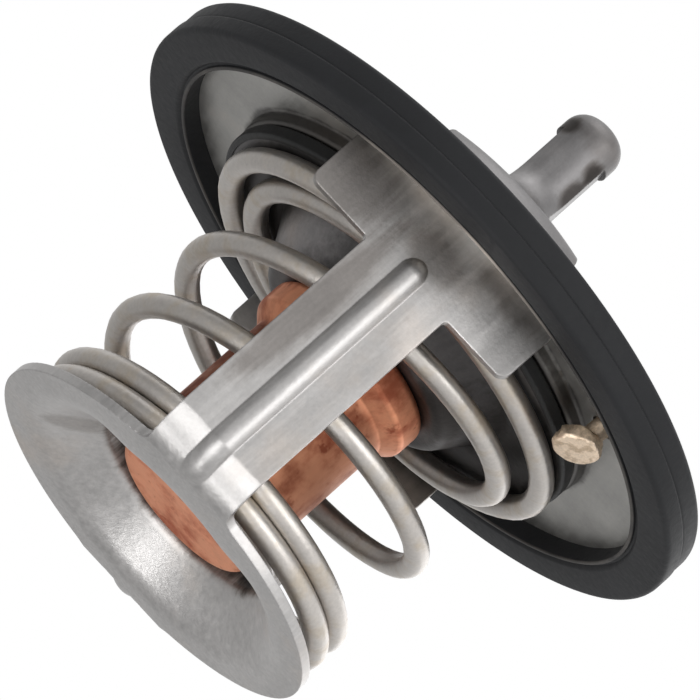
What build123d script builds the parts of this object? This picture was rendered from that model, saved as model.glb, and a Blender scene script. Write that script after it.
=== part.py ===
from build123d import *
import os
from math import cos, radians, sin, sqrt, tan

os.makedirs("parts", exist_ok=True)

# Wax engine thermostat. All sizes are millimetres. +Z is the axis, from the spring end to the tip of
# the bridge. z = 0 is the lower face of the yoke's ring, and the yoke's legs stand towards -Y and +Y.

# Rim gasket
gasket_radius = 27.0
gasket_width = 3.9
gasket_lower_lip = 1.6  # rubber below the flange
gasket_upper_lip = 1.0  # rubber above the flange
gasket_rounding = 0.4
parting_height = 1.72  # of the moulded groove round the outside
parting_width = 0.22
parting_depth = 0.4
upper_lobe_step = 0.15  # the rubber above the groove is this much smaller

# Flange with the drawn valve seat
flange_height = 26.9  # of its underside
flange_sheet = 0.9
flange_bite = 2.1  # how far the rim reaches into the gasket
seat_drop = 1.2
seat_clearance = 0.5  # from the seat's wall to the legs
seat_width = 2.1

# Bridge: a pressed hat with two arms and a hollow stem
bridge_sheet = 0.7
lobe_clearance = 2.1  # from the tip of a lobe to the gasket
lobe_width = 18.4
lobe_corner = 2.5
base_margin = 1.7  # of the round foot outside the seat's wall
wall_inset = 1.3  # of the hat's wall inside the seat's wall
shoulder_inset = 3.6  # of the shoulder inside the foot of the wall
shoulder_rise = 6.6  # above the flange
funnel_rise = 10.0
funnel_rounding = 3.2
tip_rise = 18.85
tip_rounding = 1.7
sill_height = 0.9
stem_arm_width = 4.3
neck_arm_width = 7.0
neck_radius = 4.4
shoulder_arm_width = 14.8
wall_arm_width = 16.8
slot_end_below_tip = 2.6

# Yoke: a dished ring with two legs that end in T-heads
yoke_sheet = 0.8
leg_margin = 2.0  # from the outer face of a leg to the tip of the bridge's lobe
leg_width = 8.2
leg_bend = 2.1  # radius inside the bend
leg_corner = 1.5  # rounding between a leg's root and the ring
head_width = 20.1
head_height = 5.7
head_corner = 0.8
armpit = 0.35  # rounding between a leg and its head
tongue_width = 3.4
tongue_spacing = 11.0
tongue_fold = 1.7
slot_clearance = 0.15
bead_radius = 1.7
bead_height = 0.7
bead_end_gap = 3.6  # from the bead's round end to the flange
bead_sweep = 38.0  # degrees that the bead follows round the bend

# Main spring
wire_radius = 0.95
crown_inset = 0.7  # of the widened top coil inside the valve's rim
crown_step = 2.75  # from the wire's centre in the widened coil to that in the others
closed_half_turns = 3
open_rise = [0.0, 0.245, 0.45, 0.636, 0.895, 0.995, 1.0]  # share of the rise after each half turn
crown_starts = 4.1  # turns from the lower end
crown_spread = 0.5
spring_turns = 5.2
coil_slit = 0.03
spring_gap = 0.1
points_per_turn = 12

# The yoke's ring, measured from the spring that stands on it
ring_margin = 0.85
land_margin = 0.5
hole_clearance = 1.12  # round the wax element's cup
ring_cone_rise = 3.5
ring_crease = 4.0  # radius of the soft bend between the land and the cone
collar_height = 1.6  # of the collar that the cone ends in
collar_bend = 1.2  # radius of its outer side

# Main valve and its seal
seal_clearance = 0.6  # from the seal to the legs
seal_skirt = 0.5  # rubber outside the valve's rim
seal_width = 1.7
seal_thickness = 0.5
skirt_drop = 0.1  # rubber below the valve's rim
seat_gap = 0.05
valve_sheet = 0.6
valve_dish_margin = 1.1  # from the spring's inside to the valve's cone
hub_drop = 4.25

# Wax element
cup_radius = 6.38
cup_wall = 0.6
cup_length = 17.4
cup_rounding = 0.9
head_step = 1.12  # of the crimped head outside the cup
hub_margin = 1.4  # of the valve's hub outside the crimped head
crimp_width = 1.4
guide_flange = 0.9
diaphragm_thickness = 0.6
boss_radius = 4.4
boss_height = 3.0  # above the crimp
nose_radius = 3.4
nose_height = 11.2  # above the crimp
plug_radius = 2.6
plug_cone = 1.0
plug_length = 2.1
backup_thickness = 0.7
piston_radius = 1.8
piston_clearance = 0.05
piston_chamfer = 0.4
wiper_radius = 2.8
wiper_length = 1.0
wiper_clearance = 0.03
retainer_thickness = 0.45
retainer_clearance = 0.3
clip_thickness = 0.8
clip_width = 1.7
clip_groove = 0.6
clip_gap = 50.0  # degrees

# Jiggle valve
jiggle_offset = 2.6  # outside the seat's wall
jiggle_angle = 56.3  # degrees from the -Y leg towards +X
jiggle_hole_radius = 1.15
shank_radius = 0.65
jiggle_head_radius = 1.75
jiggle_head_thickness = 1.7
jiggle_collar_radius = 1.3
jiggle_collar_thickness = 0.6
jiggle_rest_gap = 0.05  # from the float to the flange it rests on
jiggle_lift = 0.55  # from the collar to the flange above it
float_radius = 1.6
float_thickness = 1.4
notch_clearance = 0.5

# Heights that follow from the sizes above
flange_top = flange_height + flange_sheet
foot_top = flange_top + bridge_sheet
tip_height = flange_top + tip_rise
seat_height = flange_height - seat_drop
valve_top = seat_height - seat_gap - seal_thickness
valve_height = valve_top - valve_sheet
cup_top = valve_height - hub_drop
cup_bottom = cup_top - cup_length
hub_top = cup_top + valve_sheet
guide_top = cup_top - cup_wall
guide_bottom = guide_top - guide_flange
diaphragm_bottom = guide_bottom - diaphragm_thickness
nose_top = cup_top + nose_height
plug_top = guide_bottom + plug_length
backup_top = plug_top + backup_thickness
head_bottom = flange_height - head_height

# Radii that follow, from the gasket inwards
gasket_inner_radius = gasket_radius - gasket_width
lobe_reach = gasket_inner_radius - lobe_clearance
leg_outer_face = lobe_reach - leg_margin
leg_face = leg_outer_face - yoke_sheet
seat_wall_radius = leg_face - seat_clearance
seat_opening_radius = seat_wall_radius - seat_width
base_radius = seat_wall_radius + base_margin
wall_foot_radius = seat_wall_radius - wall_inset
shoulder_radius = wall_foot_radius - shoulder_inset
seal_radius = leg_face - seal_clearance
valve_radius = seal_radius - seal_skirt
crown_radius = valve_radius - crown_inset
coil_radius = crown_radius - crown_step
ring_radius = coil_radius + wire_radius + ring_margin
ring_land_inner = coil_radius - wire_radius - land_margin
ring_hole_radius = cup_radius + hole_clearance
valve_land_inner = coil_radius - wire_radius - valve_dish_margin
head_radius = cup_radius + head_step
cavity_radius = head_radius - cup_wall
valve_hub_radius = head_radius + hub_margin
bore_radius = piston_radius + piston_clearance
stem_radius = bore_radius + bridge_sheet
jiggle_distance = seat_wall_radius + jiggle_offset
jiggle_spot = Rot(0, 0, jiggle_angle) * Pos(0, -jiggle_distance, 0)


def bent_sheet(corners, radii, thickness, side):
    # Section of a sheet: a line with rounded corners, thickened to one side
    line = Wire(FilletPolyline(*corners, radius=radii).edges())
    return make_face(offset(line, amount=thickness, side=side, closed=True))


def rounded(section, corners):
    # The section with a fillet at each given corner
    for spot, radius in corners:
        nearest = section.vertices().sort_by_distance(Vector(*spot))[0]
        section = fillet(nearest, radius)
    return section


def turned(section):
    # Solid of revolution about the axis, from a section with x as the radius and y as the height
    return revolve(Plane.XZ * section, Axis.Z)


def disc(radius, thickness, height):
    return Pos(0, 0, height) * Cylinder(radius, thickness, align=(Align.CENTER, Align.CENTER, Align.MIN))


def tongue_places():
    return [Pos(side * tongue_spacing / 2, 0, 0) for side in (-1, 1)]


def both_sides(piece):
    return [piece, Rot(0, 0, 180) * piece]


def flange_gasket():
    # U-shaped rubber section that grips the rim of the flange, with a parting groove round the outside
    bottom = flange_height - gasket_lower_lip
    top = flange_top + gasket_upper_lip
    groove = bottom + parting_height
    upper_radius = gasket_radius - upper_lobe_step
    groove_floor = gasket_radius - parting_depth
    section = make_face(
        Polyline(
            (gasket_inner_radius, bottom),
            (gasket_radius, bottom),
            (gasket_radius, groove - parting_width / 2),
            (groove_floor, groove - parting_width / 2),
            (groove_floor, groove + parting_width / 2),
            (upper_radius, groove + parting_width / 2),
            (upper_radius, top),
            (gasket_inner_radius, top),
            close=True,
        )
    )
    section = rounded(
        section,
        [
            ((gasket_inner_radius, bottom), gasket_rounding / 2),
            ((gasket_radius, bottom), gasket_rounding),
            ((upper_radius, top), gasket_rounding),
            ((gasket_inner_radius, top), gasket_rounding / 2),
        ],
    )
    grip = Pos(gasket_inner_radius, flange_height + flange_sheet / 2) * Rectangle(2 * flange_bite, flange_sheet)
    return turned(section - grip)


def flange_plate():
    # Flat rim, a step down, and the inward-turned valve seat, with slots for the yoke's tongues
    rim_radius = gasket_inner_radius + flange_bite
    wall_inner = seat_wall_radius - flange_sheet
    seat_top = seat_height + flange_sheet
    section = make_face(
        Polyline(
            (seat_opening_radius, seat_height),
            (seat_wall_radius, seat_height),
            (seat_wall_radius, flange_height),
            (rim_radius, flange_height),
            (rim_radius, flange_top),
            (wall_inner, flange_top),
            (wall_inner, seat_top),
            (seat_opening_radius, seat_top),
            close=True,
        )
    )
    section = rounded(
        section,
        [
            ((seat_wall_radius, seat_height), flange_sheet / 2),
            ((seat_wall_radius, flange_height), flange_sheet / 4),
            ((wall_inner, flange_top), flange_sheet / 2),
            ((wall_inner, seat_top), flange_sheet / 4),
        ],
    )
    plate = turned(section) - tongue_slots()
    hole = disc(jiggle_hole_radius, flange_sheet, flange_height)
    return plate - jiggle_spot * hole


def tongue_slots():
    # The four slots that the tongues pass through, in the flange and in the bridge's foot
    width = tongue_width + 2 * slot_clearance
    depth = yoke_sheet + 2 * slot_clearance
    depth_centre = leg_face + yoke_sheet / 2
    height = foot_top - flange_height
    slot = Pos(0, depth_centre, flange_height + height / 2) * Box(width, depth, height)
    return [side for place in tongue_places() for side in both_sides(place * slot)]


def lower_frame():
    # One pressing: the dished ring with its collar, and two legs that turn up to T-heads and tongues
    run = [
        (ring_radius, 0),
        (ring_land_inner, 0),
        (ring_hole_radius, ring_cone_rise),
        (ring_hole_radius, ring_cone_rise + collar_height),
    ]
    ring = bent_sheet(run, [ring_crease, collar_bend], yoke_sheet, Side.RIGHT)
    return turned(ring) + leg_roots() + both_sides(yoke_leg())


def leg_roots():
    # Flat land that widens in rounded corners from the ring into each leg
    strip = Rectangle(leg_width, 2 * (leg_face - leg_bend))
    plan = Circle(ring_radius) + strip
    root_y = sqrt(ring_radius**2 - leg_width**2 / 4)
    plan = rounded(plan, [((x * leg_width / 2, y * root_y), leg_corner) for x in (-1, 1) for y in (-1, 1)])
    return extrude(plan - Circle(coil_radius + wire_radius), yoke_sheet)


def yoke_leg():
    flat_start = coil_radius + wire_radius
    run = [(flat_start, yoke_sheet), (leg_face, yoke_sheet), (leg_face, flange_height)]
    sheet = bent_sheet(run, leg_bend, yoke_sheet, Side.RIGHT)
    leg = extrude(Plane.YZ * sheet, leg_width / 2, both=True)
    leg += yoke_head()
    for place in tongue_places():
        leg += place * yoke_tongue()
    envelope = bent_sheet(run, leg_bend, yoke_sheet + 2 * bead_height, Side.RIGHT)
    envelope = extrude(Plane.YZ * envelope, leg_width / 2, both=True)
    leg += envelope & leg_bead(bead_radius)
    return leg - leg_bead(bead_radius - yoke_sheet)


def yoke_head():
    # The crossbar of the T, with rounded lower corners and small roundings where it meets the leg
    crossbar = Pos(0, head_bottom) * Rectangle(head_width, head_height, align=(Align.CENTER, Align.MIN))
    crossbar = rounded(
        crossbar,
        [((side * head_width / 2, head_bottom), head_corner) for side in (-1, 1)],
    )
    stub_height = head_height / 2
    stub = Pos(0, head_bottom) * Rectangle(leg_width, stub_height, align=(Align.CENTER, Align.MAX))
    outline = rounded(
        crossbar + stub,
        [((side * leg_width / 2, head_bottom), armpit) for side in (-1, 1)],
    )
    return extrude(Plane.XZ.offset(-leg_outer_face) * outline, yoke_sheet)


def yoke_tongue():
    # A tongue that passes the flange and the bridge's foot, and is folded down inwards on the foot
    fold_top = foot_top + yoke_sheet
    run = [
        (leg_outer_face, flange_height),
        (leg_outer_face, fold_top),
        (leg_outer_face - yoke_sheet - tongue_fold, fold_top),
    ]
    fold = bent_sheet(run, yoke_sheet * 1.05, yoke_sheet, Side.LEFT)
    return extrude(Plane.YZ * fold, tongue_width / 2, both=True)


def leg_bead(radius):
    # Stiffening bead of a round section: up the leg to a round end, and round part of the lower bend
    outer_bend = leg_bend + yoke_sheet
    bead_face = leg_outer_face + bead_height - bead_radius
    bend_y = leg_outer_face - outer_bend
    bead_end = flange_height - bead_end_gap - bead_radius
    straight = bead_end - outer_bend
    upright = Pos(0, bead_face, outer_bend) * Cylinder(
        radius, straight, align=(Align.CENTER, Align.CENTER, Align.MIN)
    )
    round_end = Pos(0, bead_face, bead_end) * Sphere(radius)
    bend_axis = Axis((0, bend_y, outer_bend), (-1, 0, 0))
    section = Plane(origin=(0, bead_face, outer_bend), z_dir=(0, 0, -1)) * Circle(radius)
    curve = revolve(section, bend_axis, bead_sweep)
    foot = Pos(0, bead_face, outer_bend) * Sphere(radius)
    return upright + round_end + curve + foot.rotate(bend_axis, bead_sweep)


def upper_bridge():
    # Drawn hat with a closed hollow stem, cut away on both sides so that two arms stay
    funnel_corner = flange_top + funnel_rise
    run = [
        (0, tip_height),
        (stem_radius, tip_height),
        (stem_radius, funnel_corner),
        (shoulder_radius, flange_top + shoulder_rise),
        (wall_foot_radius, foot_top),
        (lobe_reach + lobe_corner, foot_top),
    ]
    radii = [tip_rounding, funnel_rounding, 2 * bridge_sheet + 0.2, bridge_sheet]
    hat = turned(bent_sheet(run, radii, bridge_sheet, Side.RIGHT))
    lobes = Rectangle(lobe_width, 2 * lobe_reach)
    foot = fillet(lobes.vertices(), lobe_corner) + Circle(base_radius)
    hat &= extrude(Pos(0, 0, flange_top) * foot, tip_rise)
    arms = arm_outline()
    window_bottom = foot_top + sill_height
    window_height = tip_height - slot_end_below_tip - window_bottom
    windows = Circle(wall_foot_radius + bridge_sheet) - arms
    hat -= extrude(Pos(0, 0, window_bottom) * windows, window_height)
    hat -= tongue_slots()
    notch = disc(float_radius + notch_clearance, 2 * sill_height, flange_top)
    return hat - jiggle_spot * notch


def arm_outline():
    # The two arms seen along the axis: narrow beside the stem, wide at the shoulder and the wall
    half = [
        (stem_arm_width / 2, 0),
        (stem_arm_width / 2, stem_radius),
        (neck_arm_width / 2, neck_radius),
        (shoulder_arm_width / 2, shoulder_radius),
        (wall_arm_width / 2, wall_foot_radius + 2 * bridge_sheet),
    ]
    corners = half[1:] + [(-x, y) for x, y in reversed(half[1:])]
    arm = make_face(Polyline(*corners, close=True))
    arm = rounded(arm, [((side * neck_arm_width / 2, neck_radius), neck_radius / 2) for side in (-1, 1)])
    middle = Rectangle(stem_arm_width, 2 * stem_radius)
    return middle + arm + mirror(arm, Plane.XZ)


def main_valve():
    # Flat rim under the seat, and a cone down to the hub that sits on the wax element
    run = [
        (valve_radius, valve_height),
        (valve_land_inner, valve_height),
        (valve_hub_radius, cup_top),
        (boss_radius, cup_top),
    ]
    return turned(bent_sheet(run, [valve_sheet, 2 * valve_sheet], valve_sheet, Side.RIGHT))


def valve_seal():
    # Rubber moulded on the valve's rim: it covers the top and wraps the edge
    inner = seal_radius - seal_width
    crest = valve_top + seal_thickness
    foot = valve_height - skirt_drop
    section = make_face(
        Polyline(
            (inner, valve_top),
            (valve_radius, valve_top),
            (valve_radius, foot),
            (seal_radius, foot),
            (seal_radius, crest),
            (inner, crest),
            close=True,
        )
    )
    corners = [((inner, crest), seal_thickness / 3), ((seal_radius, crest), seal_thickness / 2)]
    corners.append(((seal_radius, foot), seal_skirt / 2))
    return turned(rounded(section, corners))


def wax_cup():
    # Deep-drawn cup, widened at 45 degrees to a head that is crimped over the guide
    flare_top = diaphragm_bottom - cup_wall * tan(radians(22.5))
    run = [
        (0, cup_bottom),
        (cup_radius, cup_bottom),
        (cup_radius, flare_top - head_step),
        (head_radius, flare_top),
        (head_radius, cup_top),
        (head_radius - crimp_width, cup_top),
    ]
    radii = [cup_rounding, cup_wall / 2, cup_wall * 1.05, cup_wall * 1.1]
    return turned(bent_sheet(run, radii, cup_wall, Side.LEFT))


def wax_pellet():
    floor = cup_bottom + cup_wall
    pellet = disc(cup_radius - cup_wall, diaphragm_bottom - floor, floor)
    return fillet(pellet.edges().sort_by(Axis.Z)[0], cup_rounding - cup_wall)


def diaphragm():
    return disc(cavity_radius, diaphragm_thickness, diaphragm_bottom)


def element_guide():
    # Turned guide: clamped flange, boss with the clip's groove, long nose, bore and wiper pocket
    boss_top = cup_top + boss_height
    pocket_floor = nose_top - wiper_length - retainer_thickness
    section = make_face(
        Polyline(
            (plug_radius, guide_bottom),
            (cavity_radius, guide_bottom),
            (cavity_radius, guide_top),
            (boss_radius, guide_top),
            (boss_radius, hub_top),
            (boss_radius - clip_groove, hub_top),
            (boss_radius - clip_groove, hub_top + clip_thickness),
            (boss_radius, hub_top + clip_thickness),
            (boss_radius, boss_top - boss_radius + nose_radius),
            (nose_radius, boss_top),
            (nose_radius, nose_top),
            (wiper_radius, nose_top),
            (wiper_radius, pocket_floor),
            (bore_radius, pocket_floor),
            (bore_radius, guide_bottom + plug_cone),
            close=True,
        )
    )
    return turned(rounded(section, [((cavity_radius, guide_top), cup_wall / 5)]))


def rubber_plug():
    section = make_face(
        Polyline(
            (0, guide_bottom),
            (plug_radius, guide_bottom),
            (bore_radius, guide_bottom + plug_cone),
            (bore_radius, plug_top),
            (0, plug_top),
            close=True,
        )
    )
    return turned(section)


def backup_disc():
    return disc(piston_radius, backup_thickness, plug_top)


def piston():
    # Rod from the backup disc to the pocket in the bridge's stem, with a tip that fits the pocket
    top = tip_height - bridge_sheet - piston_clearance
    rod = disc(piston_radius, top - backup_top, backup_top)
    rod = chamfer(rod.edges().sort_by(Axis.Z)[0], piston_chamfer)
    return fillet(rod.edges().sort_by(Axis.Z)[-1], tip_rounding - bridge_sheet)


def piston_seal():
    floor = nose_top - retainer_thickness - wiper_length
    return disc(wiper_radius, wiper_length, floor) - disc(piston_radius + wiper_clearance, wiper_length, floor)


def seal_retainer():
    floor = nose_top - retainer_thickness
    bore = disc(piston_radius + retainer_clearance, retainer_thickness, floor)
    return disc(wiper_radius, retainer_thickness, floor) - bore


def retaining_ring():
    # Open spring clip that sits in the boss's groove and holds the valve down on the element
    inner = boss_radius - clip_groove
    arc = 360 - clip_gap
    start = Pos(inner + clip_width / 2, hub_top + clip_thickness / 2)
    clip = revolve(Plane.XZ * start * Rectangle(clip_width, clip_thickness), Axis.Z, arc)
    return Rot(0, 0, clip_gap / 2) * clip


def smooth_height(heights, turn):
    # Height at this turn on a smooth rising curve through the heights listed for each half turn
    index = min(int(2 * turn), len(heights) - 2)
    share = 2 * turn - index
    steps = [after - before for before, after in zip(heights, heights[1:])]
    slopes = [steps[0]]
    for before, after in zip(steps, steps[1:]):
        slopes.append(2 * before * after / (before + after) if before + after > 0 else 0.0)
    slopes.append(steps[-1])
    bend = slopes[index] + slopes[index + 1] - 2 * steps[index]
    curve = 3 * steps[index] - 2 * slopes[index] - slopes[index + 1]
    return heights[index] + share * (slopes[index] + share * (curve + share * bend))


def main_spring():
    # Closed coils on the ring, open coils, and a widened crown coil under the valve's rim
    start = yoke_sheet + wire_radius + spring_gap
    end = valve_height - wire_radius - spring_gap
    closed_step = wire_radius + coil_slit / 2
    opening = start + closed_step * closed_half_turns
    heights = [start + closed_step * index for index in range(closed_half_turns)]
    heights += [opening + share * (end - opening) for share in open_rise]
    heights += [end] * 3
    path_points = []
    for index in range(round(spring_turns * points_per_turn) + 1):
        turn = index / points_per_turn
        height = smooth_height(heights, turn)
        widened = min(max((turn - crown_starts) / crown_spread, 0), 1)
        widened = widened * widened * (3 - 2 * widened)
        radius = coil_radius + crown_step * widened
        angle = radians(360 * turn + 180)
        path_points.append((radius * cos(angle), radius * sin(angle), height))
    path = Spline(*path_points)
    section = Plane(origin=path @ 0, z_dir=path % 0) * Circle(wire_radius)
    return sweep(section, path=path, is_frenet=True)


def jiggle_pin():
    # Flattened head and collar that hang under the flange, and the shank that passes the hole
    collar_bottom = flange_height - jiggle_lift - jiggle_collar_thickness
    head = disc(jiggle_head_radius, jiggle_head_thickness, collar_bottom - jiggle_head_thickness)
    head = fillet(head.edges().sort_by(Axis.Z)[0], jiggle_head_thickness / 3)
    collar = disc(jiggle_collar_radius, jiggle_collar_thickness, collar_bottom)
    shank_top = flange_top + jiggle_rest_gap + float_thickness
    shank = disc(shank_radius, shank_top - collar_bottom, collar_bottom)
    return jiggle_spot * (head + collar + shank)


def jiggle_float():
    # Weight pressed on the shank, which rests on the flange and stops the pin's fall
    floor = flange_top + jiggle_rest_gap
    collar = disc(float_radius, float_thickness, floor)
    collar = fillet(collar.edges().filter_by(GeomType.CIRCLE), float_thickness / 3)
    return jiggle_spot * (collar - disc(shank_radius, float_thickness, floor))


nodes = [
    flange_gasket,
    flange_plate,
    lower_frame,
    upper_bridge,
    main_valve,
    valve_seal,
    wax_cup,
    wax_pellet,
    diaphragm,
    element_guide,
    rubber_plug,
    backup_disc,
    piston,
    piston_seal,
    seal_retainer,
    retaining_ring,
    main_spring,
    jiggle_pin,
    jiggle_float,
]
for node in nodes:
    export_step(node(), f"parts/{node.__name__}.step")
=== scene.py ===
from math import atan2, cos, hypot, pi, radians, sin

import bmesh
import bpy
from mathutils import Matrix, Vector, noise


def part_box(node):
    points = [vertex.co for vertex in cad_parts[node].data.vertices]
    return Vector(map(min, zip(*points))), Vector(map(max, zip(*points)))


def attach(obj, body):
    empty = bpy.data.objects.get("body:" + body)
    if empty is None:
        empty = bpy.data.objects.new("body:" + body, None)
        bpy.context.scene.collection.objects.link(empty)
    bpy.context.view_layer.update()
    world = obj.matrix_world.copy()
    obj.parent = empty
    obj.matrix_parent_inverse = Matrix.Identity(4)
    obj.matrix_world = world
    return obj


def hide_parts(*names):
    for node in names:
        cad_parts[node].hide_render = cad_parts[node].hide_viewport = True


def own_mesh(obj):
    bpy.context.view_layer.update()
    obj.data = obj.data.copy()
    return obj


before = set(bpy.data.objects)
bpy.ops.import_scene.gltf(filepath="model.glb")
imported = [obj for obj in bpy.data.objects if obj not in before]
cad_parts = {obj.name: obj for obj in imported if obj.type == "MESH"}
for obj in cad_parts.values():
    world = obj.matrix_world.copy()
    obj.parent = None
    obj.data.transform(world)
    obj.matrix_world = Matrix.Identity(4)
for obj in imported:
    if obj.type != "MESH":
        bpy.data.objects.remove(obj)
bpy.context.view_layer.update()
mm = 0.001
weld = 0.0005  # vertices nearer than this many millimetres are merged
print("frame loaded")


def nodeBox(name):
    # both corners of a CAD node in millimetres
    low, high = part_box(name)
    return Vector(low) / mm, Vector(high) / mm


gasketLow, gasketHigh = nodeBox("flange_gasket")
jiggleHigh = nodeBox("jiggle_pin")[1]


class Num:
    # a number on a socket, so that shader maths reads as plain arithmetic
    def __init__(self, shader, socket):
        self.shader, self.socket = shader, socket

    def calc(self, operation, first, second=None, clamp=False):
        inputs = {0: first} if second is None else {0: first, 1: second}
        settings = {"operation": operation, "use_clamp": clamp}
        return Num(self.shader, self.shader.add("ShaderNodeMath", settings, inputs).outputs[0])

    def __add__(self, other): return self.calc("ADD", self, other)
    def __radd__(self, other): return self.calc("ADD", other, self)
    def __sub__(self, other): return self.calc("SUBTRACT", self, other)
    def __rsub__(self, other): return self.calc("SUBTRACT", other, self)
    def __mul__(self, other): return self.calc("MULTIPLY", self, other)
    def __rmul__(self, other): return self.calc("MULTIPLY", other, self)
    def __truediv__(self, other): return self.calc("DIVIDE", self, other)
    def __rtruediv__(self, other): return self.calc("DIVIDE", other, self)
    def __pow__(self, other): return self.calc("POWER", self, other)
    def most(self, other): return self.calc("MAXIMUM", self, other)
    def clamped(self): return self.calc("ADD", self, 0.0, clamp=True)


class Shader:
    # the nodes of a new material, or of a world that is passed in
    def __init__(self, name, world=None):
        self.owner = world or bpy.data.materials.new(name)
        self.owner.use_nodes = True
        self.tree = self.owner.node_tree
        self.tree.nodes.clear()
        self.output = self.add("ShaderNodeOutputWorld" if world else "ShaderNodeOutputMaterial")
        self.coordinates = self.add("ShaderNodeTexCoord").outputs
        self.place = self.coordinates["Object"]

    def add(self, kind, settings=None, inputs=None):
        made = self.tree.nodes.new(kind)
        for key, value in (settings or {}).items():
            setattr(made, key, value)
        for key, value in (inputs or {}).items():
            value = value.socket if isinstance(value, Num) else value
            if isinstance(value, bpy.types.NodeSocket):
                self.tree.links.new(value, made.inputs[key])
            else:
                made.inputs[key].default_value = value
        return made

    def number(self, socket):
        return Num(self, socket)

    def parts(self, vector):
        split = self.add("ShaderNodeSeparateXYZ", inputs={0: vector})
        return [self.number(out) for out in split.outputs]

    def along(self, vector, direction):
        # how far a vector points along a direction
        inputs = {0: vector, 1: Vector(direction).normalized()}
        made = self.add("ShaderNodeVectorMath", {"operation": "DOT_PRODUCT"}, inputs)
        return self.number(made.outputs["Value"])

    def noise(self, scale, detail, roughness, vector=None):
        inputs = {"Vector": vector or self.place, "Scale": scale, "Detail": detail, "Roughness": roughness}
        return self.number(self.add("ShaderNodeTexNoise", inputs=inputs).outputs["Fac"])

    def stretched(self, x, y, z):
        return self.add("ShaderNodeMapping", inputs={"Vector": self.place, "Scale": (x, y, z)}).outputs[0]

    def window(self, value, low, high, first=0.0, last=1.0):
        # runs softly from the first to the last number as the value passes from low to high
        made = self.add(
            "ShaderNodeMapRange", {"interpolation_type": "SMOOTHSTEP"},
            {"Value": value, "From Min": low, "From Max": high, "To Min": first, "To Max": last},
        )
        return self.number(made.outputs[0])

    def edge(self, value, span, first=0.0, last=1.0):
        # the same for a place, over a span in millimetres
        return self.window(value, span[0] * mm, span[1] * mm, first, last)

    def mix(self, factor, first, second):
        made = self.add("ShaderNodeMix", {"data_type": "RGBA"}, {"Factor": factor, 6: first, 7: second})
        return made.outputs[2]

    def tinted(self, colour, strength):
        # the colour multiplied by a grey of this strength
        grey = self.add("ShaderNodeCombineColor", inputs={0: strength, 1: strength, 2: strength}).outputs[0]
        settings = {"data_type": "RGBA", "blend_type": "MULTIPLY"}
        return self.add("ShaderNodeMix", settings, {"Factor": 1.0, 6: colour, 7: grey}).outputs[2]

    def softEdge(self, radius, samples=4):
        # the surface's normal, turned smoothly over sheared edges; the radius is in millimetres
        return self.add("ShaderNodeBevel", {"samples": samples}, {"Radius": radius * mm}).outputs[0]

    def bump(self, height, distance, strength, normal=None):
        # the distance is in millimetres
        inputs = {"Height": height, "Distance": distance * mm, "Strength": strength}
        if normal:
            inputs["Normal"] = normal
        return self.add("ShaderNodeBump", inputs=inputs).outputs[0]

    def finish(self, colour, roughness, metallic, normal, **fixed):
        inputs = {"Base Color": colour, "Roughness": roughness, "Metallic": metallic, "Normal": normal}
        return self.show(self.add("ShaderNodeBsdfPrincipled", inputs={**inputs, **fixed}))

    def show(self, last):
        # joins the last node to the output
        self.tree.links.new(last.outputs[0], self.output.inputs[0])
        return self.owner


def scaled(colour, red, green, blue):
    # a colour with each channel multiplied
    return (colour[0] * red, colour[1] * green, colour[2] * blue, 1)


def sheetSteel(name, colour, roughness, cloudy, grain, along, shadeRing=None, shadeLightAndDirt=()):
    # pressed stainless sheet: cloudy tone, fine grain and soft brushing along one direction
    shader = Shader(name)
    cloud = shader.noise(190, 5, 0.65)
    wide = shader.noise(70, 3, 0.55)
    fine = shader.noise(3000, 3, 0.6)
    brushed = shader.noise(1500, 4, 0.65, vector=shader.stretched(*along))
    streaks = shader.noise(600, 4, 0.7, vector=shader.stretched(*along))
    shade = 1.0 + (cloud + wide - 1.0) * cloudy + (fine - 0.5 + (brushed - 0.5) * 1.6) * grain
    warmTone = scaled(colour, 0.95, 0.85, 0.76)
    tone = shader.mix(shader.window(wide + (cloud - 0.5) * 0.5, 0.52, 0.74, 0.0, 0.5), colour, warmTone)
    x, y, z = shader.parts(shader.place)
    for centre, reach, strength in shadeLightAndDirt:
        # a soft patch of painted shade (below zero, painted light), on the yoke partly dirt too, broken up
        # by the streaks of the brushing
        steps = [((value - c * mm) / (r * mm)) ** 2 for value, c, r in zip((x, y, z), centre, reach)]
        gone = (steps[0] + steps[1] + steps[2]) ** 0.5
        patch = shader.window(gone + (streaks - 0.5) + (cloud - 0.5) * 0.9, 0.5, 1.2, strength, 0.0)
        shade = shade * (1.0 - patch)
        tone = shader.mix((patch * 0.6).clamped(), tone, scaled(colour, 1.0, 0.84, 0.72))
    tone = shader.tinted(tone, shade)
    rough = roughness + (brushed - 0.5) * 0.2 + (cloud - 0.5) * 0.2
    if shadeRing:
        # painted shade inside a radius: the seat wall beside the black seal, which lies in shadow, is
        # painted dark
        radius = (x * x + y * y) ** 0.5 + (cloud - 0.5) * (1.2 * mm)
        inShade = shader.edge(radius, shadeRing["radius"], shadeRing["strength"], 0.0)
        tone = shader.mix(inShade, tone, shadeRing["colour"])
    normal = shader.bump(fine * 0.4 + brushed * 0.4 + cloud * 0.4, 0.08, 0.5, shader.softEdge(0.18))
    return shader.finish(tone, rough.clamped(), 1.0, normal)


def wireSteel(name, colour, roughness):
    # drawn spring wire: dull, with cloudy heat tint and fine pits
    shader = Shader(name)
    cloud = shader.noise(420, 4, 0.6)
    fine = shader.noise(3200, 2, 0.5)
    shade = 1.0 + (cloud - 0.5) * 0.4 + (fine - 0.5) * 0.25
    warm = shader.mix(shader.window(cloud, 0.45, 0.7, 0.0, 0.8), colour, scaled(colour, 0.86, 0.8, 0.7))
    tone = shader.tinted(warm, shade)
    normal = shader.bump(fine * 0.6 + cloud * 0.4, 0.07, 0.45)
    return shader.finish(tone, (roughness + (cloud - 0.5) * 0.2).clamped(), 1.0, normal)


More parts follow.
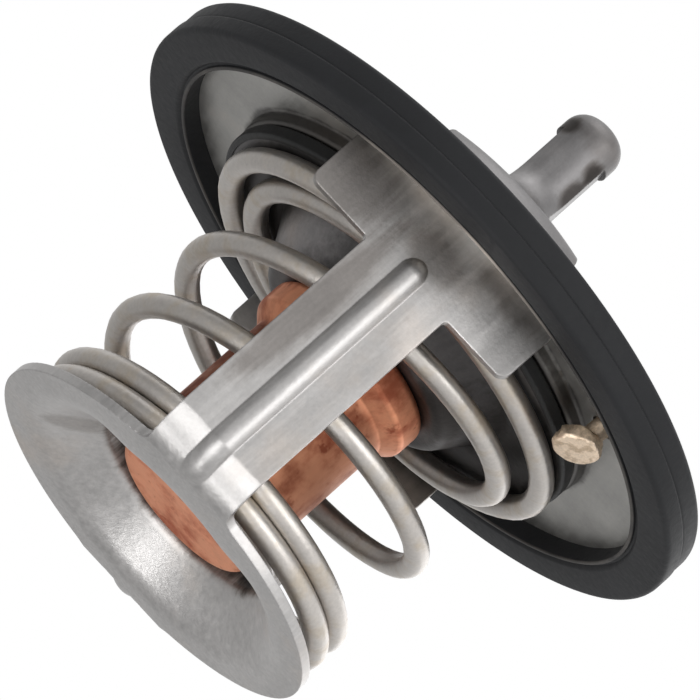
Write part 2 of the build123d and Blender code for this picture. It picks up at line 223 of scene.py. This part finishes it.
def mouldedRubber(name, colour, roughness, specular=0.3, lipSheen=None):
    # black rubber with a fine mottled skin
    shader = Shader(name)
    skin = shader.noise(1500, 4, 0.65)
    cloud = shader.noise(180, 3, 0.5)
    shade = 1.0 + (cloud - 0.5) * 0.7 + (skin - 0.5) * 0.4
    tone = shader.tinted(colour, shade)
    if lipSheen:
        # painted highlight: the moulded lip beside the steel is painted pale in places, standing for a thin
        # bright line of light along its edge
        x, y, z = shader.parts(shader.place)
        x = x - lipSheen["aside"] * mm
        radius = (x * x + y * y) ** 0.5
        onLip = shader.edge(radius, lipSheen["radius"], 1.0, 0.0)
        below = shader.edge(z, lipSheen["height"], 1.0, 0.0)
        sheenPatches = shader.window(shader.noise(120, 3, 0.6), 0.42, 0.6)
        atLeg = shader.edge(y, lipSheen["leg"], 1.0, lipSheen["elsewhere"])
        tone = shader.mix(onLip * below * (0.4 + sheenPatches * 0.5) * atLeg, tone, lipSheen["colour"])
    normal = shader.bump(skin, 0.08, 0.45)
    return shader.finish(tone, (roughness + (skin - 0.5) * 0.25).clamped(), 0.0, normal,
                         **{"Specular IOR Level": specular})


def drawnCopper(name, colour, dark, band):
    # copper cup: tarnish clouds, small dark spots and soft drawing marks along the axis
    shader = Shader(name)
    cloud = shader.noise(260, 5, 0.6)
    marks = shader.noise(1100, 3, 0.6, vector=shader.stretched(1.0, 1.0, 0.15))
    spots = shader.window(shader.noise(700, 3, 0.6), 0.60, 0.70)
    tarnish = (shader.window(cloud + (marks - 0.5) * 0.3, 0.38, 0.72) + spots * 0.5).clamped()
    tone = shader.mix(tarnish, colour, dark)
    z = shader.parts(shader.place)[2]
    # painted light: the cup's ends, above all its head, are painted brighter than its middle
    middle = shader.edge(z, band["from"]) * shader.edge(z, band["to"], 1.0, 0.0)
    tone = shader.tinted(tone, (1.25 - middle * 0.6) * (1.0 + (marks - 0.5) * 0.4))
    normal = shader.bump(marks * 0.5 + cloud * 0.5, 0.16, 0.5)
    return shader.finish(tone, (0.50 + tarnish * 0.18).clamped(), 1.0, normal)


def turnedMetal(name, colour, roughness):
    # turned part: fine rings across the axis
    shader = Shader(name)
    rings = shader.noise(2500, 2, 0.5, vector=shader.stretched(0.05, 0.05, 1.0))
    cloud = shader.noise(400, 3, 0.5)
    normal = shader.bump(rings, 0.04, 0.4)
    tone = shader.tinted(colour, 1.0 + (cloud - 0.5) * 0.25)
    return shader.finish(tone, (roughness + (rings - 0.5) * 0.15).clamped(), 1.0, normal)


def castMetal(name, colour, dull, roughness):
    # a small rough casting: pale and peachy, duller in patches, with crumbly grain
    shader = Shader(name)
    cloud = shader.noise(900, 4, 0.65)
    grain = shader.noise(4200, 3, 0.7)
    tone = shader.mix(shader.window(cloud, 0.46, 0.64), colour, dull)
    tone = shader.tinted(tone, 1.0 + (grain - 0.5) * 0.6 + (cloud - 0.5) * 0.4)
    normal = shader.bump(grain * 0.5 + cloud * 0.8, 0.16, 0.7)
    return shader.finish(tone, (roughness + (cloud - 0.5) * 0.4).clamped(), 1.0, normal)


# how noise is drawn out on a sheet: along its height, along Y, or not at all
lengthwise, across, plain = (1.0, 1.0, 0.08), (1.0, 0.1, 1.0), (1.0, 1.0, 1.0)
# painted shade on the flange's seat wall beside the black seal, between these radii
seatShadeRing = {"radius": (17.75, 18.25), "strength": 0.85, "colour": (0.045, 0.04, 0.037, 1)}
# painted highlight along the gasket's inner lip
lipHighlight = {
    "aside": 0.42,  # the soft ring sits a little off the axis
    "radius": (23.44, 23.5), "height": (25.4, 25.45),  # millimetres over which the pale edge fades
    "leg": (-22.5, -20.5), "elsewhere": 0.12,  # the painted highlight is strongest at the near leg, and this share past it
    "colour": (0.45, 0.40, 0.35, 1),
}
cupBand = {"from": (3.8, 5.2), "to": (16.0, 17.2)}  # heights where the cup's middle starts and ends; the ends outside them are painted brighter, as painted light

# patches of painted shade, on the T-head partly dirt too: centre and reach along each axis in millimetres,
# how dark (below zero: how bright, as painted light)
yokeShadeLightAndDirt = [
    # painted shade on the bead's left flank and round its top, and on the T-head's left side
    ((-2.9, -19.0, 15.0), (1.5, 3.0, 8.5), 0.42),
    ((-9.0, -19.0, 23.5), (5.5, 3.0, 3.6), 0.42),
    ((0.2, -19.0, 23.9), (3.2, 3.0, 1.7), 0.35),
    ((6.0, -19.0, 26.0), (4.0, 3.0, 1.6), 0.40),
    ((3.0, 19.0, 14.0), (1.6, 3.0, 9.0), 0.35),
    ((6.0, 19.0, 25.0), (5.0, 3.0, 2.5), 0.35),
    # painted shadow under the crease of the ring's land
    ((-10.0, 0.8, 1.6), (3.0, 1.7, 2.6), 0.28),
    ((0.0, 0.0, 5.6), (14.0, 14.0, 2.4), 0.85),  # painted shade inside the collar
    ((0.0, 0.0, 5.2), (12.0, 12.0, 2.4), 0.85),
    # painted light on the upper leg and on the ring's right side
    ((4.4, -19.0, 20.0), (3.2, 3.0, 4.5), -0.4),
    ((9.0, 3.0, 1.2), (5.5, 9.0, 2.5), -0.2),
    ((6.0, 18.2, 23.5), (9.0, 2.0, 5.0), 0.5),
]
# painted shade beside the stem's cap, and below zero painted light
stemShadeAndLight = [
    ((-2.2, -1.4, 44.4), (1.3, 1.3, 1.0), 0.7),
    ((1.9, -1.9, 43.1), (0.9, 0.9, 1.2), 0.75),
    ((2.0, -1.7, 40.8), (0.9, 0.9, 1.4), 0.6),
    ((0.6, -2.4, 45.2), (2.2, 2.0, 1.6), 0.2),
    ((-1.4, -2.4, 40.6), (1.3, 1.5, 3.0), -0.3),
]
# painted shade on the valve, and below zero painted light where its face is lit
valveShadeAndLight = [
    ((-9.0, -5.3, 22.7), (4.5, 4.5, 2.6), -1.3),
    ((7.4, -4.0, 20.9), (3.5, 4.5, 2.6), 0.6),
    ((8.0, 5.0, 20.5), (6.0, 5.0, 4.0), 0.5),
    ((12.0, -1.0, 24.5), (4.5, 9.0, 2.5), 0.6),
]

finishes = {
    "flange": sheetSteel("flangeSteel", (0.38, 0.372, 0.355, 1), roughness=0.46, cloudy=0.7, grain=0.2,
                         along=across, shadeRing=seatShadeRing),
    "yoke": sheetSteel("yokeSteel", (0.485, 0.473, 0.465, 1), roughness=0.43, cloudy=0.34, grain=0.26,
                       along=lengthwise, shadeLightAndDirt=yokeShadeLightAndDirt),
    "bridge": sheetSteel("bridgeSteel", (0.21, 0.204, 0.204, 1), roughness=0.5, cloudy=0.55, grain=0.2,
                         along=lengthwise, shadeLightAndDirt=stemShadeAndLight),
    # the valve's dark base colour is painted shade, for the shade it lies in inside the coils
    "valve": sheetSteel("valveSteel", (0.135, 0.13, 0.13, 1), roughness=0.52, cloudy=1.0, grain=0.25,
                        along=plain, shadeLightAndDirt=valveShadeAndLight),
    "wire": wireSteel("springWire", (0.54, 0.51, 0.48, 1), 0.42),
    "rubber": mouldedRubber("gasketRubber", (0.013, 0.0135, 0.015, 1), 0.62, specular=0.24, lipSheen=lipHighlight),
    "seal": mouldedRubber("sealRubber", (0.009, 0.009, 0.009, 1), 0.55),
    "copper": drawnCopper("cupCopper", (0.66, 0.30, 0.175, 1), dark=(0.33, 0.10, 0.055, 1), band=cupBand),
    "brass": turnedMetal("guideBrass", (0.62, 0.48, 0.25, 1), 0.3),
    "pin": turnedMetal("pistonSteel", (0.50, 0.50, 0.50, 1), 0.2),
    "jiggle": castMetal("jiggleBronze", (0.88, 0.72, 0.56, 1), dull=(0.56, 0.44, 0.32, 1), roughness=0.48),
}
cadFinish = {
    "flange_gasket": "rubber", "flange_plate": "flange", "lower_frame": "yoke", "upper_bridge": "bridge",
    "main_valve": "valve", "valve_seal": "seal", "main_spring": "wire", "wax_cup": "copper",
    "wax_pellet": "copper", "diaphragm": "seal", "rubber_plug": "seal", "backup_disc": "pin",
    "element_guide": "brass", "retaining_ring": "wire", "piston": "pin", "piston_seal": "seal",
    "seal_retainer": "brass", "jiggle_pin": "jiggle", "jiggle_float": "jiggle",
}
for node, finish in cadFinish.items():
    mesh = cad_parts[node].data
    mesh.materials.clear()
    mesh.materials.append(finishes[finish])
print("materials made")


def makePiece(name, bm, finish, body, nodes, smooth=35.0):
    # a new piece from millimetres, smooth but for edges sharper than the given angle
    bmesh.ops.scale(bm, vec=(mm, mm, mm), verts=bm.verts)
    mesh = bpy.data.meshes.new(name)
    bm.to_mesh(mesh)
    bm.free()
    if mesh.has_custom_normals:
        mesh.attributes.remove(mesh.attributes["custom_normal"])  # from the shape before the change
    mesh.shade_smooth()
    mesh.set_sharp_from_angle(angle=radians(smooth))
    mesh.materials.append(finishes[finish])
    piece = bpy.data.objects.new(name, mesh)
    bpy.context.scene.collection.objects.link(piece)
    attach(piece, body)
    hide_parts(*nodes)
    return piece


def smoothShare(value, low, high):
    # rises softly from 0 to 1 as the value passes from low to high
    share = min(max((value - low) / (high - low), 0), 1)
    return share * share * (3 - 2 * share)


def outline(bm, points, closed=True):
    # an edge path in the XZ plane through (radius, height) points
    verts = [bm.verts.new((r, 0, z)) for r, z in points]
    pairs = zip(verts, verts[1:] + verts[:1]) if closed else zip(verts, verts[1:])
    for first, second in pairs:
        bm.edges.new((first, second))
    return verts


def roundCorners(bm, rounding, segments=4):
    # a circular arc at each given vertex of an edge path
    for vert, radius in rounding:
        bmesh.ops.bevel(bm, geom=[vert], offset=radius, segments=segments, profile=0.5,
                        affect="VERTICES", material=-1)


def spinRound(bm, steps):
    # a full turn of an edge path round the Z axis
    bmesh.ops.spin(bm, geom=bm.verts[:] + bm.edges[:], axis=(0, 0, 1), cent=(0, 0, 0),
                   angle=2 * pi, steps=steps, use_merge=True)
    bmesh.ops.remove_doubles(bm, verts=bm.verts, dist=weld)
    bmesh.ops.recalc_face_normals(bm, faces=bm.faces)


# rim gasket, in millimetres
gasket = {
    "inner": 23.15, "rounding": 0.45, "lip": 0.12,  # inner radius, softness of the corners and of the lip
    "parting": 1.72, "grooveWidth": 0.22, "grooveDepth": 0.14, "grooveSoft": 0.1,  # moulded line outside
    "step": 0.1,  # the outside is smaller by this above the line
    "edgeWidth": 0.32, "edgeGroove": 0.22, "edgeDepth": 0.28,  # raised inner edge, groove beside it
    "aside": lipHighlight["aside"],
    "steps": 256,
}


def makeGasket():
    outer, low, high = gasketHigh.x, gasketLow.z, gasketHigh.z
    middle = low + gasket["parting"]
    half = gasket["grooveWidth"] / 2
    floor = outer - gasket["grooveDepth"]
    upper = outer - gasket["step"]
    ridge = gasket["inner"] + gasket["edgeWidth"]
    groove = ridge + gasket["edgeGroove"]
    bm = bmesh.new()
    verts = outline(bm, [
        (groove + gasket["edgeDepth"], low), (outer, low), (outer, middle - half), (floor, middle),
        (upper, middle + half), (upper, high), (gasket["inner"], high), (gasket["inner"], low),
        (ridge, low), (ridge, low + gasket["edgeDepth"]), (groove, low + gasket["edgeDepth"]),
    ])
    soft, lip, fine = gasket["rounding"], gasket["lip"], gasket["grooveSoft"]
    roundCorners(bm, [(verts[0], lip), (verts[1], soft), (verts[2], fine), (verts[4], fine),
                      (verts[5], soft), (verts[6], soft), (verts[7], lip), (verts[8], lip)])
    spinRound(bm, gasket["steps"])
    bmesh.ops.translate(bm, vec=(gasket["aside"], 0, 0), verts=bm.verts)
    makePiece("gasket", bm, "rubber", "frame", ["flange_gasket"])


makeGasket()

# main spring, in millimetres and turns
spring = {
    "wire": 0.95, "coil": 13.65, "crown": 16.4,  # radii of the wire, the coil and its last turn
    "turns": 5.2, "perTurn": 64, "rounds": 5, "start": 180,  # it starts at this many degrees
    # height of the wire's middle at each half turn
    "heights": (1.85, 2.82, 3.79, 4.76, 9.6, 13.19, 16.67, 21.5, 23.4, 23.5, 23.5, 23.5),
    "widens": 4.1, "over": 0.5,  # the turn where the coil starts to widen, and over how many
    "travel": 8.0,  # of the valve
    "aside": (0.5, 0.04, 0),  # it sits a little off the axis
}


def coilHeight(turn):
    # a smooth curve through the heights that never dips between them
    heights = spring["heights"]
    index = min(int(2 * turn), len(heights) - 2)
    share = 2 * turn - index
    steps = [b - a for a, b in zip(heights, heights[1:])]
    between = [2 * a * b / (a + b) if a + b > 0 else 0 for a, b in zip(steps, steps[1:])]
    slopes = [steps[0]] + between + [steps[-1]]
    first, last, step = slopes[index], slopes[index + 1], steps[index]
    cubic = first + last - 2 * step
    square = 3 * step - 2 * first - last
    return heights[index] + share * (first + share * (square + share * cubic))


def makeSpring():
    curve = bpy.data.curves.new("springLine", "CURVE")
    curve.dimensions = "3D"
    curve.bevel_depth = spring["wire"] * mm
    curve.bevel_resolution = spring["rounds"]
    curve.use_fill_caps = True
    count = round(spring["turns"] * spring["perTurn"]) + 1
    line = curve.splines.new("POLY")
    line.points.add(count - 1)
    for index in range(count):
        turn = index / spring["perTurn"]
        share = smoothShare(turn, spring["widens"], spring["widens"] + spring["over"])
        radius = spring["coil"] + (spring["crown"] - spring["coil"]) * share
        angle = 2 * pi * turn + radians(spring["start"])
        place = Vector((radius * cos(angle), radius * sin(angle), coilHeight(turn))) * mm
        line.points[index].co = (*place, 1)
    holder = bpy.data.objects.new("springLine", curve)
    bm = bmesh.new()
    bm.from_mesh(bpy.data.meshes.new_from_object(holder))
    bpy.data.objects.remove(holder)
    bmesh.ops.scale(bm, vec=(1 / mm,) * 3, verts=bm.verts)
    bmesh.ops.remove_doubles(bm, verts=bm.verts, dist=weld)
    bmesh.ops.recalc_face_normals(bm, faces=bm.faces)
    bmesh.ops.translate(bm, vec=spring["aside"], verts=bm.verts)
    piece = makePiece("spring", bm, "wire", "frame", ["main_spring"], smooth=50.0)
    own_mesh(piece)


makeSpring()

# yoke: a copy of the CAD pressing, with its bends, bead and ring drawn softer
yoke = {
    "face": 19.0, "legHalf": 4.1,  # outer face of the legs, half their width
    "bend": 2.9, "softBend": 4.5,  # outer radius of the leg's bend, as pressed and as drawn here
    "spread": 1.6,  # how far the land beside a leg lifts with it
    "cuts": 7, "cutMargin": (1.2, 2.0),  # how many over the bend, how far they reach in and up past it
    "beadCuts": (-2.9, -2.3, -1.7, 1.7, 2.3, 2.9),  # where others run along the leg
    "snap": 0.0001,  # a vertex nearer than this to a cut lies on it
    "beadHalf": 1.45, "beadNarrower": 0.8, "beadDepth": 3.0, "beadTop": 25.0,
    "beadBlend": (1.3, 2.9),  # half widths between which the bead's slide along the leg fades
    # the bead is drawn out past the first share of the bend: its end moves from the second to the third
    "beadRuns": (0.25, 0.67, 0.93),
    "beadFades": (0.3, 0.95), "beadSinks": 0.8,  # where the bead sinks into the sheet, and how much
    "ringTop": 8.0, "hole": 7.5, "wider": 0.7, "lower": 0.35, "holeReach": 3.4,
    # the flat land runs further in beside the near leg, and fades at these radii and widths
    "landTop": 4.0, "landDrawn": 1.5, "landFades": (8.7, 11.8, 12.7, 14.2), "landBeside": (5.0, 9.0),
    "flat": 0.2,  # degrees under which two faces count as one
    "sliver": 0.004,  # millimetres under which a face is dissolved
}


def softenBend(point):
    # slides a point of the sharper bend onto the softer one, at the same depth in the sheet
    tight, soft = yoke["bend"], yoke["softBend"]
    side = 1 if point.y > 0 else -1
    out = abs(point.y)
    centreOut = yoke["face"] - tight
    start = yoke["face"] - soft
    if point.z >= soft or out <= start:
        return
    if point.z > tight:
        travelled, depth = soft - point.z, yoke["face"] - out
    elif out < centreOut:
        travelled, depth = soft - tight + tight * pi / 2 + centreOut - out, point.z
    else:
        angle = atan2(tight - point.z, out - centreOut)
        travelled, depth = soft - tight + tight * angle, tight - hypot(tight - point.z, out - centreOut)
    whole = 2 * (soft - tight) + tight * pi / 2
    share = travelled / whole
    first, end, later = yoke["beadRuns"]
    if share > first:
        drawn = later + (share - end) * (1 - later) / (1 - end)
        if share < end:
            drawn = first + (share - first) * (later - first) / (end - first)
        share += (drawn - share) * (1 - smoothShare(abs(point.x), *yoke["beadBlend"]))
    if depth < 0:
        depth *= 1 - yoke["beadSinks"] * smoothShare(share, *yoke["beadFades"])
    angle = share * pi / 2
    reach = soft - depth
    target = Vector((point.x, side * (start + reach * cos(angle)), soft - reach * sin(angle)))
    weight = 1 - smoothShare(abs(point.x), yoke["legHalf"], yoke["legHalf"] + yoke["spread"])
    point.xyz = point.lerp(target, weight)


def narrowBead(point):
    # squeezes the bead towards the leg's middle and lets the flat beside it follow
    half, edge, across = yoke["beadHalf"], yoke["legHalf"], abs(point.x)
    if across >= edge or abs(point.y) < yoke["face"] - yoke["beadDepth"] or point.z > yoke["beadTop"]:
        return
    inner = half * yoke["beadNarrower"]
    if across < half:
        across = across * inner / half
    else:
        across = inner + (across - half) * (edge - inner) / (edge - half)
    point.x = across if point.x > 0 else -across


def widenHole(point):
    # opens the ring's hole a little and lowers its edge
    radius = hypot(point.x, point.y)
    outermost = yoke["hole"] + yoke["holeReach"]
    if radius > outermost or point.z > yoke["ringTop"]:
        return
    weight = 1 - smoothShare(radius, yoke["hole"], outermost)
    point.xy *= 1 + yoke["wider"] * weight / radius
    point.z -= yoke["lower"] * weight


def drawLand(point):
    # draws the ring's flat land inwards beside the near leg
    radius = hypot(point.x, point.y)
    inner, full, still, outer = yoke["landFades"]
    if point.z > yoke["landTop"] or point.y > 0 or radius > outer:
        return
    weight = smoothShare(radius, inner, full) * (1 - smoothShare(radius, still, outer))
    weight *= 1 - smoothShare(abs(point.x), *yoke["landBeside"])
    point.xy *= 1 - yoke["landDrawn"] * weight / radius


def cutAcross(bm, side, place, normal):
    # a cut through the faces round one leg's bend
    inwards, upwards = yoke["cutMargin"]
    least = yoke["face"] - yoke["softBend"] - inwards
    faces = []
    for face in bm.faces:
        middle = face.calc_center_median()
        if middle.y * side > least and middle.z < yoke["softBend"] + upwards:
            faces.append(face)
    edges = {edge for face in faces for edge in face.edges}
    verts = {vert for face in faces for vert in face.verts}
    bmesh.ops.bisect_plane(bm, geom=faces + list(edges) + list(verts), dist=yoke["snap"],
                           plane_co=place, plane_no=normal)


def makeYoke():
    bm = bmesh.new()
    bm.from_mesh(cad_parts["lower_frame"].data)
    bmesh.ops.scale(bm, vec=(1 / mm,) * 3, verts=bm.verts)
    bmesh.ops.remove_doubles(bm, verts=bm.verts, dist=weld)
    bmesh.ops.dissolve_degenerate(bm, edges=bm.edges, dist=weld)
    bmesh.ops.dissolve_limit(bm, angle_limit=radians(yoke["flat"]), verts=bm.verts, edges=bm.edges)
    start, top, tight = yoke["face"] - yoke["softBend"], yoke["softBend"], yoke["bend"]
    axis = yoke["face"] - tight
    for side in (-1, 1):
        for x in yoke["beadCuts"]:
            cutAcross(bm, side, (x, 0, 0), (1, 0, 0))
        for index in range(yoke["cuts"] + 1):
            share = index / yoke["cuts"]
            angle = share * pi / 2
            cutAcross(bm, side, (0, side * (start + (axis - start) * share), 0), (0, 1, 0))
            cutAcross(bm, side, (0, 0, tight + (top - tight) * share), (0, 0, 1))
            cutAcross(bm, side, (0, side * axis, tight), (0, side * sin(angle), cos(angle)))
    for vert in bm.verts:
        narrowBead(vert.co)
        softenBend(vert.co)
        widenHole(vert.co)
        drawLand(vert.co)
    bmesh.ops.triangulate(bm, faces=bm.faces)
    bmesh.ops.dissolve_degenerate(bm, edges=bm.edges, dist=yoke["sliver"])
    piece = makePiece("yoke", bm, "yoke", "frame", ["lower_frame"], smooth=32.0)
    weighted = piece.modifiers.new("flatFaces", "WEIGHTED_NORMAL")
    weighted.keep_sharp = True


makeYoke()

# jiggle pin: a rough little weight that hangs askew on its shank
jiggle = {
    "angle": 56.3, "reach": 20.35,  # where the hole is, from the -Y leg towards +X
    "bottom": 23.95, "head": 1.8, "headThick": 1.15, "headCrown": 0.12, "headTaper": 0.97,
    "layer": 1.5, "layerThick": 0.45, "layerFoot": 0.9, "layerTaper": 0.95, "seam": (0.05, 0.15),
    "shank": 0.85, "steps": 40,
    "rounding": (0.28, 0.12, 0.08, 0.1),  # at the head's two corners and the layer's two
    "tilt": 30.0, "tiltToward": (0.85, -0.53), "swing": (-0.45, 0.1), "pivotShare": 0.6,
    "stiffens": (0.1, 0.3),  # the tilt fades from this far over the head to this far over the layer
    "uneven": 0.09, "upright": 0.8,  # how far lumps stand out, and the share of it that goes along Z
    "lumps": 1.3, "lumpsFrom": (3, 1, 7), "crumbs": 3.1,
}


def roughen(point, loose):
    # pushes a point of the head in or out by lumps and smaller crumbs
    lump = noise.noise(point * jiggle["lumps"] + Vector(jiggle["lumpsFrom"]))
    bump = (lump + 0.5 * noise.noise(point * jiggle["crumbs"])) * loose * jiggle["uneven"]
    point += point.xy.to_3d() * bump
    point.z += bump * jiggle["upright"]


def makeJiggle():
    low, head, layer, shank = (jiggle[key] for key in ("bottom", "head", "layer", "shank"))
    topOfHead = low + jiggle["headThick"]
    topOfLayer = topOfHead + jiggle["layerThick"]
    seamLow, seamHigh = jiggle["seam"]
    bm = bmesh.new()
    verts = outline(bm, [
        (0, low), (head, low + jiggle["headCrown"]), (head * jiggle["headTaper"], topOfHead),
        (layer * jiggle["layerFoot"], topOfHead + seamLow), (layer, topOfHead + seamHigh),
        (layer * jiggle["layerTaper"], topOfLayer), (shank, topOfLayer + seamLow),
        (shank, jiggleHigh.z), (0, jiggleHigh.z),
    ], closed=False)
    corners = (verts[1], verts[2], verts[4], verts[5])
    roundCorners(bm, zip(corners, jiggle["rounding"]), segments=3)
    spinRound(bm, jiggle["steps"])
    pivot = Vector((0, 0, low + jiggle["headThick"] * jiggle["pivotShare"]))
    toward = Vector((*jiggle["tiltToward"], 0)).normalized()
    turn = Matrix.Rotation(radians(jiggle["tilt"]), 3, Vector((0, 0, -1)).cross(toward))
    overHead, overLayer = jiggle["stiffens"]
    for vert in bm.verts:
        loose = 1 - smoothShare(vert.co.z, topOfHead + overHead, topOfLayer + overLayer)
        roughen(vert.co, loose)
        turned = pivot + turn @ (vert.co - pivot) + Vector((*jiggle["swing"], 0))
        vert.co = vert.co.lerp(turned, loose)
    angle = radians(jiggle["angle"])
    place = (jiggle["reach"] * sin(angle), -jiggle["reach"] * cos(angle), 0)
    bmesh.ops.translate(bm, vec=place, verts=bm.verts)
    bmesh.ops.recalc_face_normals(bm, faces=bm.faces)
    makePiece("jiggleWeight", bm, "jiggle", "jiggle", ["jiggle_pin"], smooth=40.0)


makeJiggle()
print("pieces made")


# camera
view = {
    "azimuth": 5.0, "elevation": -17.9, "roll": 48.4,  # degrees
    "focal": 10000.0,  # pixels
    "scale": 13.67,  # pixels for each millimetre
    "frame": 700.0,  # side of the picture in pixels
    "centre": (400.5, 314.4),  # where the gasket's lower face is centred, in pixels
    "clip": (0.05, 20),  # metres
}


def cameraAxes():
    a, e, r = (radians(view[key]) for key in ("azimuth", "elevation", "roll"))
    back = Vector((sin(a) * cos(e), -cos(a) * cos(e), sin(e)))
    level = Vector((cos(a), sin(a), 0))
    rise = back.cross(level)
    right = cos(r) * level + sin(r) * rise
    up = -sin(r) * level + cos(r) * rise
    return right, up, back


def makeCamera():
    right, up, back = cameraAxes()
    distance = view["focal"] / view["scale"]
    half = view["frame"] / 2
    aside = (view["centre"][0] - half) / view["scale"]
    above = -(view["centre"][1] - half) / view["scale"]
    spot = Vector((0, 0, gasketLow.z)) - right * aside - up * above + back * distance
    camera = bpy.data.objects.new("camera", bpy.data.cameras.new("camera"))
    turn = Matrix((right, up, back)).transposed().to_4x4()
    camera.matrix_world = Matrix.Translation(spot * mm) @ turn
    camera.data.lens = view["focal"] / view["frame"] * camera.data.sensor_width
    camera.data.clip_start, camera.data.clip_end = view["clip"]
    bpy.context.scene.collection.objects.link(camera)
    bpy.context.scene.camera = camera


makeCamera()


# lamps, each with its direction from the object, distance and size in millimetres, and watts
lamps = {
    "key": ((0.62, -0.72, 0.32), 420, 240, 0.45),
    "frontLow": ((-0.05, -0.74, -0.67), 380, 310, 0.78),
    "low": ((-0.06, -0.04, -1.0), 380, 80, 0.2),
    "top": ((-0.25, -0.25, 0.94), 420, 300, 0.4),
    "back": ((0.35, 0.85, 0.40), 420, 300, 0.3),
}
# what shines sees this room, whose strengths run from dim to full
room = {
    "bright": (0.55, 0.0, 0.83),  # the side that the room's light comes from
    "dim": 0.46, "full": 1.06, "grades": (-0.8, 0.65),
    "screen": (-0.87, -0.41, 0.307), "screenDark": 0.55, "screenEdge": (0.89, 0.98),  # a dark screen
    "diffuse": 0.4,  # what dull faces see
}
floorLook = {"colour": (0.86, 0.86, 0.86, 1), "roughness": 0.7, "half": 1.5}  # half its side in metres


def makeLamps():
    middle = Vector((0, 0, gasketHigh.z / 2))
    for name, (direction, distance, size, watts) in lamps.items():
        lamp = bpy.data.lights.new(name, "AREA")
        lamp.size = size * mm
        lamp.energy = watts
        toward = Vector(direction).normalized()
        holder = bpy.data.objects.new(name, lamp)
        holder.location = (middle + toward * distance) * mm
        holder.rotation_euler = (-toward).to_track_quat("-Z", "Y").to_euler()
        bpy.context.scene.collection.objects.link(holder)


def makeWorld():
    # white behind the object, and a room that is darker on one side for what shines
    world = bpy.data.worlds.new("studio")
    shader = Shader("studio", world)
    rays = shader.add("ShaderNodeLightPath").outputs
    glossy = shader.number(rays["Is Glossy Ray"])
    clear = shader.number(rays["Is Camera Ray"]).most(shader.number(rays["Is Transmission Ray"]))
    toBright = shader.along(shader.coordinates["Generated"], room["bright"])
    toScreen = shader.along(shader.coordinates["Generated"], room["screen"])
    graded = shader.window(toBright, *room["grades"], room["dim"], room["full"])
    dark = shader.window(toScreen, *room["screenEdge"], 1.0, 1 - room["screenDark"])
    light = glossy * (graded * dark - room["diffuse"]) + room["diffuse"]
    strength = clear * (1.0 - light) + light
    shader.show(shader.add("ShaderNodeBackground", inputs={"Color": (1, 1, 1, 1), "Strength": strength}))
    bpy.context.scene.world = world


def makeFloor():
    # a pale floor that shows from above only, because the camera looks up from under it
    shader = Shader("floorWhite")
    paint = {"Base Color": floorLook["colour"], "Roughness": floorLook["roughness"]}
    lit = shader.add("ShaderNodeBsdfPrincipled", inputs=paint)
    clear = shader.add("ShaderNodeBsdfTransparent")
    fromBelow = shader.number(shader.add("ShaderNodeNewGeometry").outputs["Backfacing"])
    rays = shader.add("ShaderNodeLightPath").outputs
    passing = shader.number(rays["Is Shadow Ray"]).most(shader.number(rays["Is Glossy Ray"]))
    inputs = {0: fromBelow.most(passing), 1: lit.outputs[0], 2: clear.outputs[0]}
    shader.show(shader.add("ShaderNodeMixShader", inputs=inputs))
    bm = bmesh.new()
    bmesh.ops.create_grid(bm, x_segments=1, y_segments=1, size=floorLook["half"])
    mesh = bpy.data.meshes.new("floor")
    bm.to_mesh(mesh)
    bm.free()
    mesh.materials.append(shader.owner)
    floor = bpy.data.objects.new("floor", mesh)
    bpy.context.scene.collection.objects.link(floor)


makeLamps()
makeWorld()
makeFloor()
bpy.context.scene.view_settings.view_transform = "Standard"
print("camera and light ready")
